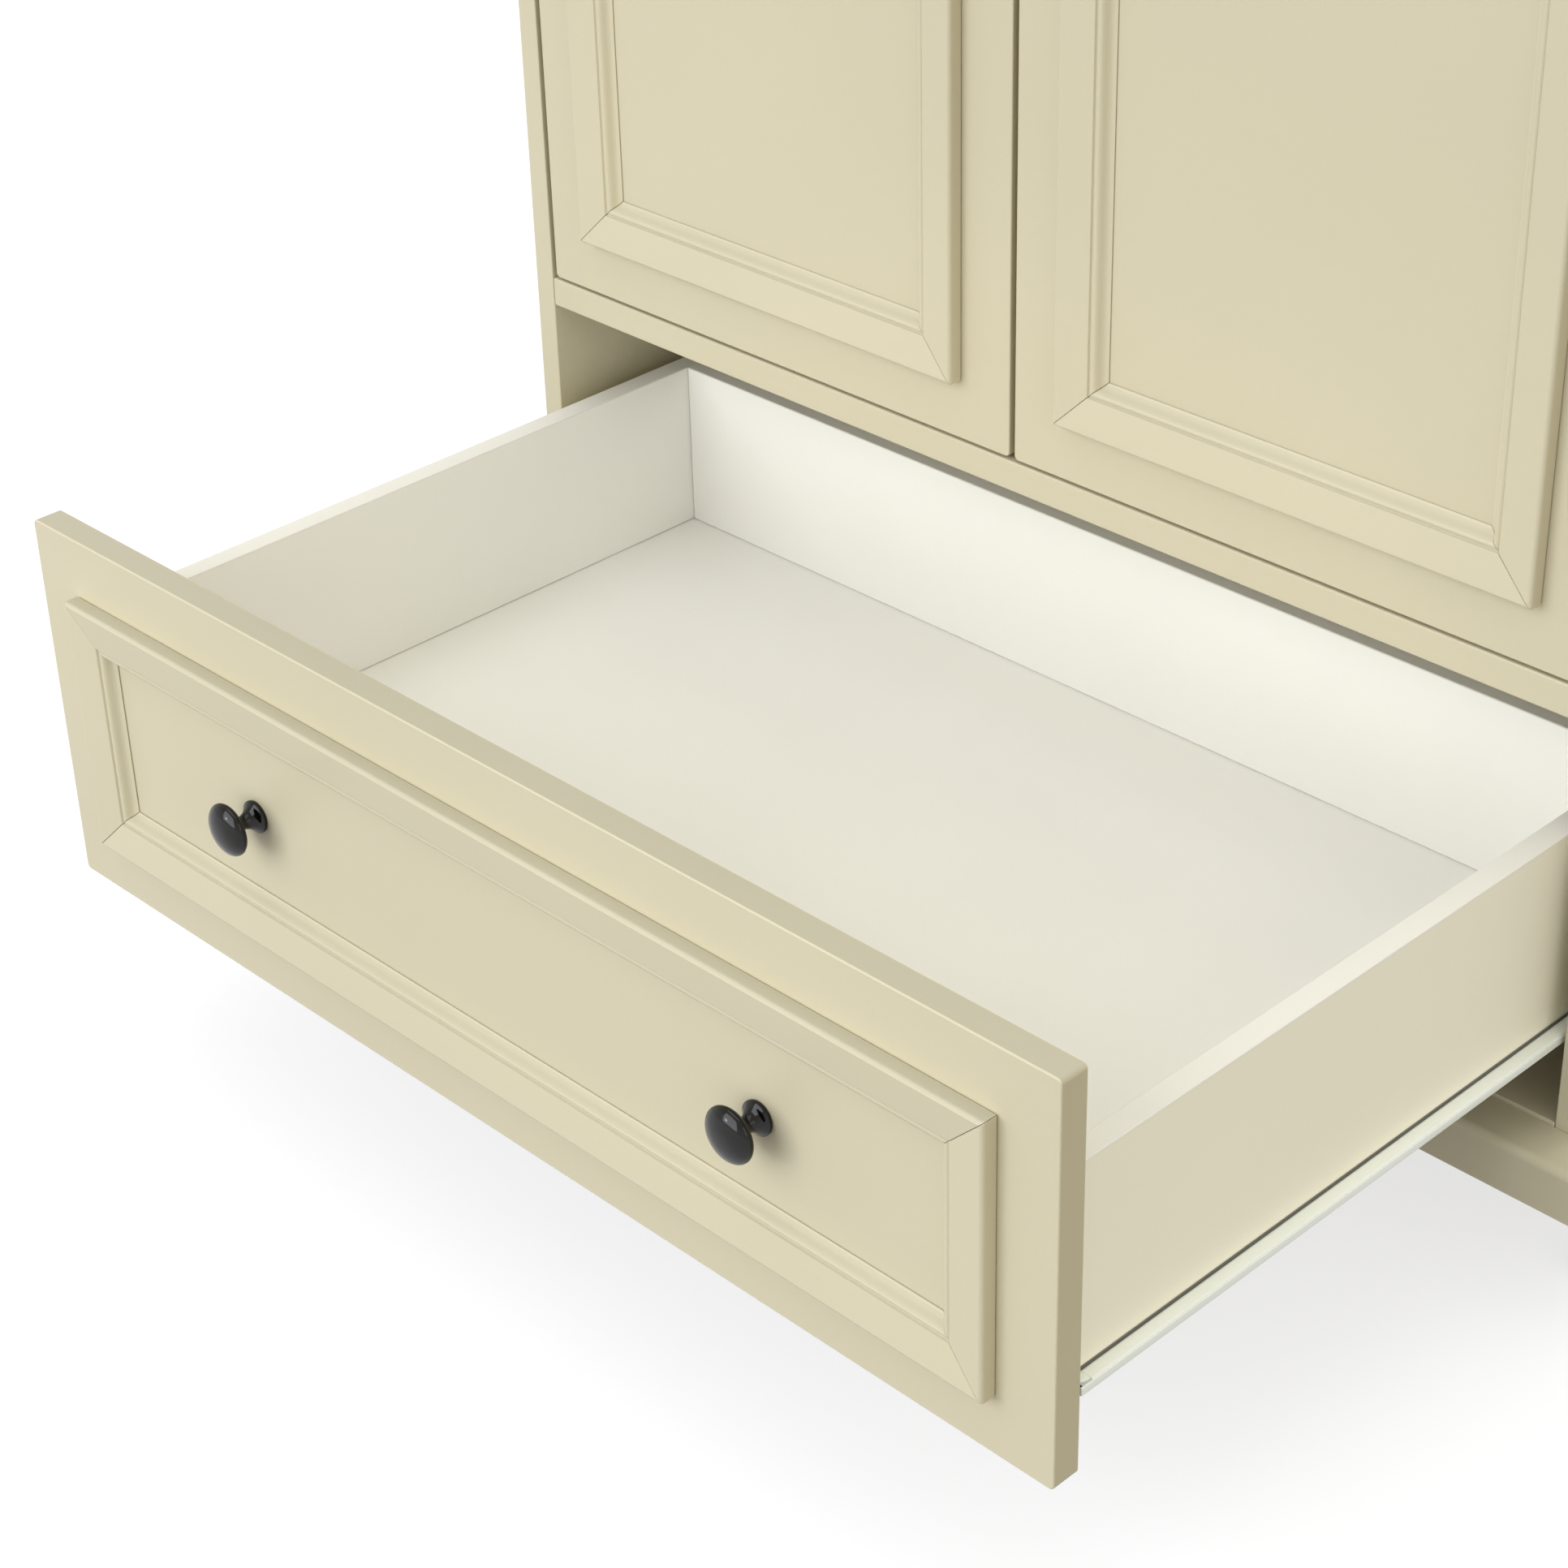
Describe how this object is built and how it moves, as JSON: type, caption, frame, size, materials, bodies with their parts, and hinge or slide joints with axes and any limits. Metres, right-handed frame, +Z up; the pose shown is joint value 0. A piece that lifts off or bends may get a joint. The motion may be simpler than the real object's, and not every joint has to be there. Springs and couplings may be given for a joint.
{
  "type": "armoire",
  "caption": "Free-standing armoire in cream painted board, with framed doors over a wide pull-out drawer on roller slides and black mushroom knobs.",
  "frame": {"origin": "on the floor, under the middle of the box that holds the armoire with its drawer out", "axes": "+Z up, +X to the right seen from the front, the front faces -Y"},
  "size_m": [0.894, 0.9912, 1.8296],
  "materials": {
    "cream_paint": "satin buttermilk paint on board",
    "drawer_lining": "satin ivory paint on board",
    "black_enamel": "glossy black enamel",
    "coated_steel": "satin pale epoxy coat",
    "nylon": "natural nylon",
    "bright_steel": "bright zinc-plated steel",
    "catch_plastic": "moulded cream plastic"
  },
  "bodies": {
    "case": {"back_panel": "cream_paint", "base_moulding_front": "cream_paint", "base_moulding_left": "cream_paint", "base_moulding_right": "cream_paint", "bottom_panel": "cream_paint", "cornice_front": "cream_paint", "cornice_left": "cream_paint", "cornice_rear_rail": "cream_paint", "cornice_right": "cream_paint", "divider_panel": "cream_paint", "front_left_foot": "cream_paint", "front_right_foot": "cream_paint", "hanging_rod": "bright_steel", "left_case_slide": "coated_steel", "left_rod_socket": "bright_steel", "left_side_panel": "cream_paint", "magnetic_catch": "catch_plastic", "rear_left_foot": "cream_paint", "rear_right_foot": "cream_paint", "right_case_slide": "coated_steel", "right_rod_socket": "bright_steel", "right_side_panel": "cream_paint", "shelf": "cream_paint", "top_board": "cream_paint", "top_panel": "cream_paint"},
    "drawer": {"drawer_back": "drawer_lining", "drawer_bottom": "drawer_lining", "drawer_bottom_moulding": "cream_paint", "drawer_front": "cream_paint", "drawer_left_knob": "black_enamel", "drawer_left_moulding": "cream_paint", "drawer_left_side": "drawer_lining", "drawer_right_knob": "black_enamel", "drawer_right_moulding": "cream_paint", "drawer_right_side": "drawer_lining", "drawer_top_moulding": "cream_paint", "left_drawer_slide": "coated_steel", "right_drawer_slide": "coated_steel"},
    "left_door": {"left_door": "cream_paint", "left_door_bottom_moulding": "cream_paint", "left_door_knob": "black_enamel", "left_door_left_moulding": "cream_paint", "left_door_lower_pin": "bright_steel", "left_door_right_moulding": "cream_paint", "left_door_top_moulding": "cream_paint", "left_door_upper_pin": "bright_steel", "left_strike_plate": "bright_steel"},
    "right_door": {"right_door": "cream_paint", "right_door_bottom_moulding": "cream_paint", "right_door_knob": "black_enamel", "right_door_left_moulding": "cream_paint", "right_door_lower_pin": "bright_steel", "right_door_right_moulding": "cream_paint", "right_door_top_moulding": "cream_paint", "right_door_upper_pin": "bright_steel", "right_strike_plate": "bright_steel"},
    "left_case_roller": {"left_case_roller": "nylon"},
    "left_drawer_roller": {"left_drawer_roller": "nylon"},
    "right_case_roller": {"right_case_roller": "nylon"},
    "right_drawer_roller": {"right_drawer_roller": "nylon"}
  },
  "joints": [
    {"name": "drawer_slide", "type": "slide", "parent": "case", "child": "drawer", "axis": [0, -1, 0], "range_m": [-0.404, 0]},
    {"name": "left_door_hinge", "type": "hinge", "parent": "case", "child": "left_door", "pos_m": [-0.384, -0.05535, 1.059], "axis": [0, 0, -1], "range_deg": [0, 110]},
    {"name": "right_door_hinge", "type": "hinge", "parent": "case", "child": "right_door", "pos_m": [0.384, -0.05535, 1.059], "axis": [0, 0, 1], "range_deg": [0, 110]},
    {"name": "left_case_roller_spin", "type": "hinge", "parent": "case", "child": "left_case_roller", "pos_m": [-0.3933, -0.03035, 0.1565], "axis": [1, 0, 0], "range_deg": [-2013.3, 0]},
    {"name": "left_drawer_roller_spin", "type": "hinge", "parent": "drawer", "child": "left_drawer_roller", "pos_m": [-0.3933, 0.02665, 0.1545], "axis": [1, 0, 0], "range_deg": [-2013.3, 0]},
    {"name": "right_case_roller_spin", "type": "hinge", "parent": "case", "child": "right_case_roller", "pos_m": [0.3933, -0.03035, 0.1565], "axis": [1, 0, 0], "range_deg": [-2013.3, 0]},
    {"name": "right_drawer_roller_spin", "type": "hinge", "parent": "drawer", "child": "right_drawer_roller", "pos_m": [0.3933, 0.02665, 0.1545], "axis": [1, 0, 0], "range_deg": [-2013.3, 0]}
  ],
  "couplings": [
    {"joint": "left_case_roller_spin", "follows": "drawer_slide", "rad_per_m": 86.957},
    {"joint": "left_drawer_roller_spin", "follows": "drawer_slide", "rad_per_m": 86.957},
    {"joint": "right_case_roller_spin", "follows": "drawer_slide", "rad_per_m": 86.957},
    {"joint": "right_drawer_roller_spin", "follows": "drawer_slide", "rad_per_m": 86.957}
  ]
}
